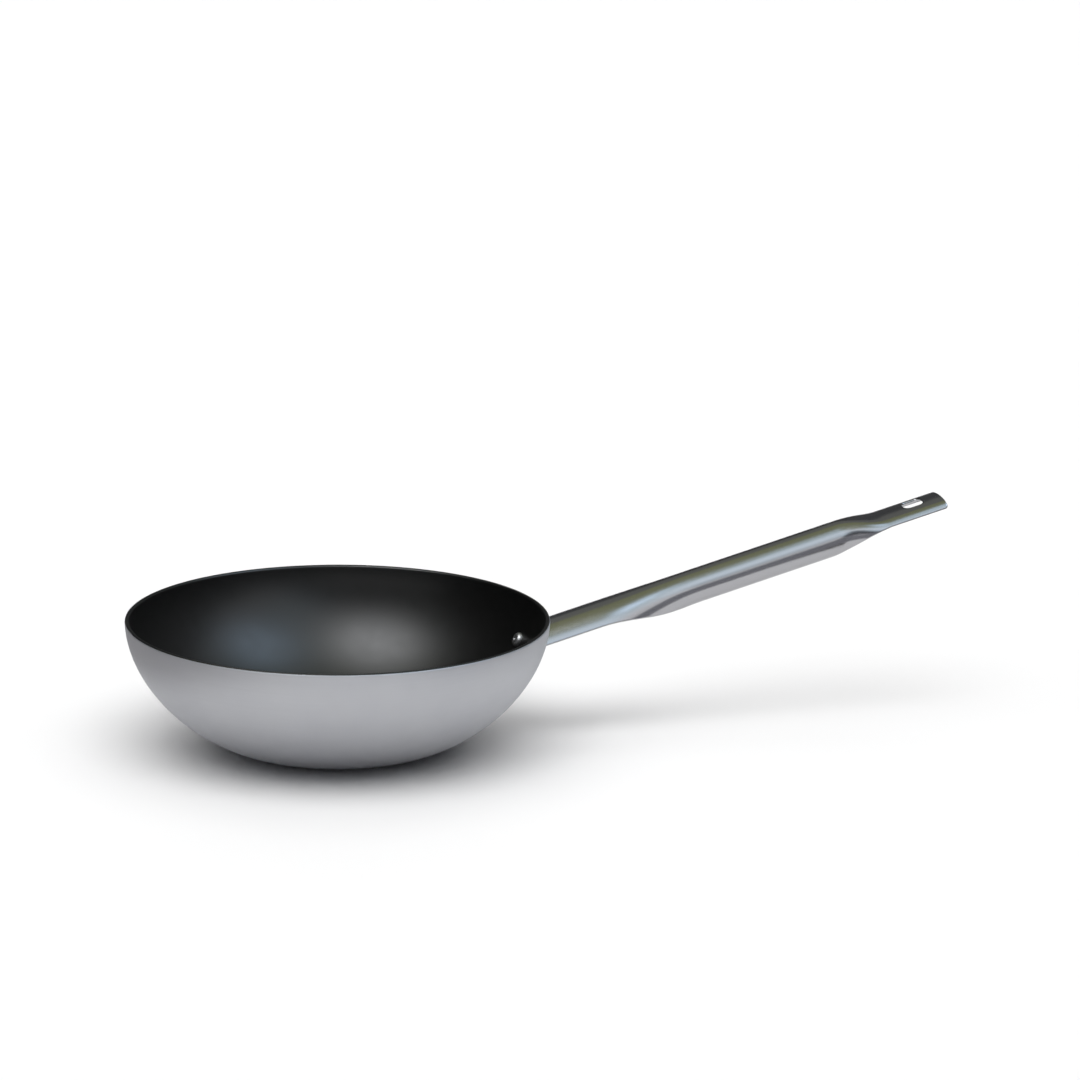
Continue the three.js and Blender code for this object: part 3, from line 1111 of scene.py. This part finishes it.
@dataclass(frozen=True)
class Viewpoint:
    """The camera: far off and slightly above the rim, so that the wok is seen almost without perspective."""

    azimuth: float = -17.25  # from -Y, positive towards +X
    elevation: float = 15.080
    distance: float = 6.0
    aim_right: float = 1.316  # past the wok's axis
    aim_down: float = 14.584  # below level
    roll: float = 0.278
    lens: float = 303.8  # millimetres, as is the sensor
    sensor: float = 36.0
    target_height: float = 0.08643

    @property
    def target(self) -> Vector:
        """Point on the wok's axis that the camera and the cards stand round."""
        return Vector((0, 0, self.target_height))

    def direction(self, azimuth: float, elevation: float) -> Vector:
        """Find a direction from the wok, with the azimuth counted from the camera's side to its right."""
        angle, lift = radians(azimuth + self.azimuth), radians(elevation)
        return Vector((sin(angle) * cos(lift), -cos(angle) * cos(lift), sin(lift)))

    def build(self) -> None:
        """Make the scene's camera."""
        data = bpy.data.cameras.new("viewpoint")
        data.lens = self.lens
        data.sensor_width = self.sensor
        camera = bpy.data.objects.new("viewpoint", data)
        turns = (self.azimuth - self.aim_right, "Z"), (UPRIGHT - self.aim_down, "X"), (self.roll, "Z")
        pan, tip, roll = (Matrix.Rotation(radians(angle), 4, axis) for angle, axis in turns)
        camera.matrix_world = pan @ tip @ roll
        camera.location = self.direction(0.0, self.elevation) * self.distance + self.target
        bpy.context.scene.collection.objects.link(camera)
        bpy.context.scene.camera = camera


@dataclass(frozen=True)
class Lamp:
    """A wide soft light far off."""

    name: str
    azimuth: float  # from the camera's side, positive to its right
    elevation: float
    spread: float
    energy: float


@dataclass(frozen=True)
class Card:
    """A flat card that only reflections see, such as a softbox's face or a dark flag beside it."""

    name: str
    azimuth: float  # from the camera's side, positive to its right
    elevation: float
    distance: float
    width: float
    height: float
    colour: str
    strength: float = 1.0
    fade: float = 0.0  # share of the way in from the edge over which a round glow fades; 0 is a plain card


@dataclass(frozen=True)
class Mat:
    """A grey mat on the floor, beside the paper that the wok stands on. Only reflections see it."""

    name: str
    left: float  # its sides, from the wok's middle to the camera's right
    right: float
    near: float  # its ends, from the wok's middle away from the camera
    far: float
    colour: str


@dataclass
class Studio:
    """Pale floor, soft light and the cards that shape the reflections in the metal."""

    view: Viewpoint
    floor_colour: str = "#f2f2f2"
    floor_size: float = 60.0
    mat_lift: float = 0.0006  # mats lie this far above the floor
    fill: float = 0.03  # strength of the world as a light
    lamps: tuple[Lamp, ...] = (
        Lamp("overhead_light", 0.0, 88.0, 100.0, 1.38),
        Lamp("front_light", 0.0, 71.0, 55.0, 1.12),
        Lamp("left_light", -70.0, 62.0, 60.0, 0.52),
        Lamp("right_light", 70.0, 62.0, 60.0, 0.30),
        Lamp("back_light", 180.0, 30.0, 60.0, 0.68),
    )
    cards: tuple[Card, ...] = (
        Card("softbox_front", 27.0, 39.0, 4.0, 2.6, 4.4, "#e4f3fc", 1.4, 0.8),
        Card("softbox_left", -44.0, 65.0, 1.4, 1.7, 1.25, "#fafcff", 7.4, 0.8),
        Card("softbox_right", 73.0, 55.0, 4.0, 3.5, 3.6, "#c8dff6", 4.8, 0.8),
        Card("ceiling", 0.0, 88.0, 5.0, 10.4, 7.7, "#90936e"),
        Card("flag_front", -12.0, 25.0, 5.0, 8.0, 2.5, "#404044"),
        Card("flag_horizon", 35.5, 4.0, 2.4, 2.1, 0.7, "#95969b"),
        Card("flag_front_right", 74.0, 8.0, 2.4, 1.8, 1.1, "#707074"),
        Card("flag_far", 180.0, 18.0, 2.4, 4.6, 1.6, "#4c4d4e"),
        Card("flag_far_high", 180.0, 51.0, 2.4, 4.4, 1.3, "#7a7b76"),
        Card("flag_left", -105.0, 24.0, 1.8, 4.0, 1.9, "#161616"),
        Card("flag_right", 116.0, 16.0, 1.8, 2.4, 1.3, "#606060"),
    )
    mats: tuple[Mat, ...] = (
        Mat("mat_left", -2.4, -0.19, -2.4, 2.4, "#a6a4a5"),
        Mat("mat_right", 0.46, 2.4, -0.13, 2.4, "#606060"),
        Mat("mat_back_right", 0.16, 0.25, 0.09, 2.4, "#606060"),
        Mat("mat_front_right", 0.3, 2.4, -2.4, -0.13, "#95959a"),
    )

    def build(self) -> None:
        """Make the floor, the lights, the world and the cards."""
        self.build_floor()
        self.build_world()
        for lamp in self.lamps:
            self.build_lamp(lamp)
        for card in self.cards:
            self.build_card(card)
        for mat in self.mats:
            self.build_mat(mat)
        bpy.context.scene.view_settings.view_transform = "Standard"

    def make_flat(self, name: str, across: float, up: float) -> Object:
        """Make a flat rectangle about the origin, by its half width and half height in metres."""
        x, y = across / MM, up / MM
        return make_mesh(name, [(-x, -y, 0), (x, -y, 0), (x, y, 0), (-x, y, 0)], [(0, 1, 2, 3)])

    def build_floor(self) -> None:
        """Make the plain pale floor."""
        floor = self.make_flat("studio_floor", self.floor_size / 2, self.floor_size / 2)
        material, tree = empty_material("pale_floor")
        matt = add_node(tree, "ShaderNodeBsdfDiffuse", values={"Color": linear(self.floor_colour)})
        add_node(tree, "ShaderNodeOutputMaterial", links={"Surface": matt.outputs[0]})
        floor.data.materials.append(material)

    def build_world(self) -> None:
        """Make the world: soft fill for the light, plain white for the camera and for reflections."""
        world = bpy.data.worlds.new("studio")
        bpy.context.scene.world = world
        world.use_nodes = True
        tree = world.node_tree
        tree.nodes.clear()
        rays = add_node(tree, "ShaderNodeLightPath")
        shown = rays.outputs["Is Camera Ray"]
        for kind in ("Is Glossy Ray", "Is Transmission Ray"):
            either = {0: shown, 1: rays.outputs[kind]}
            shown = add_node(tree, "ShaderNodeMath", {"operation": "MAXIMUM"}, links=either).outputs[0]
        soft, white = (
            add_node(tree, "ShaderNodeBackground", values={"Color": WHITE, "Strength": strength}).outputs[0]
            for strength in (self.fill, 1.0)
        )
        mixed = add_node(tree, "ShaderNodeMixShader", links={0: shown, 1: soft, 2: white})
        add_node(tree, "ShaderNodeOutputWorld", links={"Surface": mixed.outputs[0]})

    def build_lamp(self, lamp: Lamp) -> None:
        """Make one wide soft light, which reflections don't see.

        Args:
            lamp: Its place and strength.
        """
        light = bpy.data.lights.new(lamp.name, "SUN")
        light.energy = lamp.energy
        light.angle = radians(lamp.spread)
        source = bpy.data.objects.new(lamp.name, light)
        away = self.view.direction(lamp.azimuth, lamp.elevation)
        source.matrix_world = away.to_track_quat("Z", "Y").to_matrix().to_4x4()
        source.visible_glossy = False
        bpy.context.scene.collection.objects.link(source)

    def build_card(self, card: Card) -> None:
        """Make one card that faces the wok.

        Args:
            card: Its place, size and glow.
        """
        glow = card.colour, card.strength, card.fade
        piece = self.make_panel(card.name, card.width / 2, card.height / 2, *glow)
        away = self.view.direction(card.azimuth, card.elevation)
        piece.matrix_world = away.to_track_quat("Z", "Y").to_matrix().to_4x4()
        piece.location = away * card.distance + self.view.target

    def build_mat(self, mat: Mat) -> None:
        """Make one mat on the floor, lined up with the camera.

        Args:
            mat: Its place and colour.
        """
        across, up = (mat.right - mat.left) / 2, (mat.far - mat.near) / 2
        piece = self.make_panel(mat.name, across, up, mat.colour)
        to_camera, to_right = self.view.direction(0.0, 0.0), self.view.direction(90.0, 0.0)
        middle = to_right * ((mat.left + mat.right) / 2) - to_camera * ((mat.near + mat.far) / 2)
        piece.matrix_world = Matrix.Rotation(radians(self.view.azimuth), 4, "Z")
        piece.location = middle + Vector((0, 0, self.mat_lift))

    def make_panel(
        self, name: str, across: float, up: float, colour: str, strength: float = 1.0, fade: float = 0.0
    ) -> Object:
        """Make a glowing panel that only reflections see.

        Args:
            name: Name of the panel.
            across: Half of its width in metres.
            up: Half of its height in metres.
            colour: Colour of its glow.
            strength: Strength of its glow.
            fade: Share of the way in from the edge over which a round glow fades.

        Returns:
            The panel, at the origin.
        """
        piece = self.make_flat(name, across, up)
        piece.visible_camera = False
        piece.visible_diffuse = False
        piece.visible_transmission = False
        piece.visible_shadow = False
        material, tree = empty_material(name)
        values = {"Color": linear(colour), "Strength": strength}
        surface = add_node(tree, "ShaderNodeEmission", values=values).outputs[0]
        if fade > 0:
            place, scale = add_node(tree, "ShaderNodeTexCoord").outputs["Object"], (1 / across, 1 / up, 0)
            share = add_node(tree, "ShaderNodeVectorMath", {"operation": "MULTIPLY"}, {1: scale}, {0: place})
            out = add_node(tree, "ShaderNodeVectorMath", {"operation": "LENGTH"}, links={0: share.outputs[0]})
            ends, at = {"From Min": 1.0, "From Max": 1.0 - fade}, {"Value": out.outputs["Value"]}
            shown = add_node(tree, "ShaderNodeMapRange", {"interpolation_type": "SMOOTHSTEP"}, ends, at)
            clear = add_node(tree, "ShaderNodeBsdfTransparent")
            mix = {0: shown.outputs[0], 1: clear.outputs[0], 2: surface}
            surface = add_node(tree, "ShaderNodeMixShader", links=mix).outputs[0]
        add_node(tree, "ShaderNodeOutputMaterial", links={"Surface": surface})
        piece.data.materials.append(material)
        return piece


def main() -> None:
    """Build the wok, its studio and its camera."""
    logging.basicConfig(level=logging.INFO, format="%(name)s: %(message)s")
    view = Viewpoint()
    view.build()
    wall = Wall()
    rivets = Rivets(wall)
    Bowl(wall).build(SpunAluminium().material(), NonstickCoating().material())
    Handle(wall, rivets).build(PolishedStainless().material())
    rivets.build(PressedAluminium().material())
    Studio(view).build()


if __name__ == "__main__":
    main()
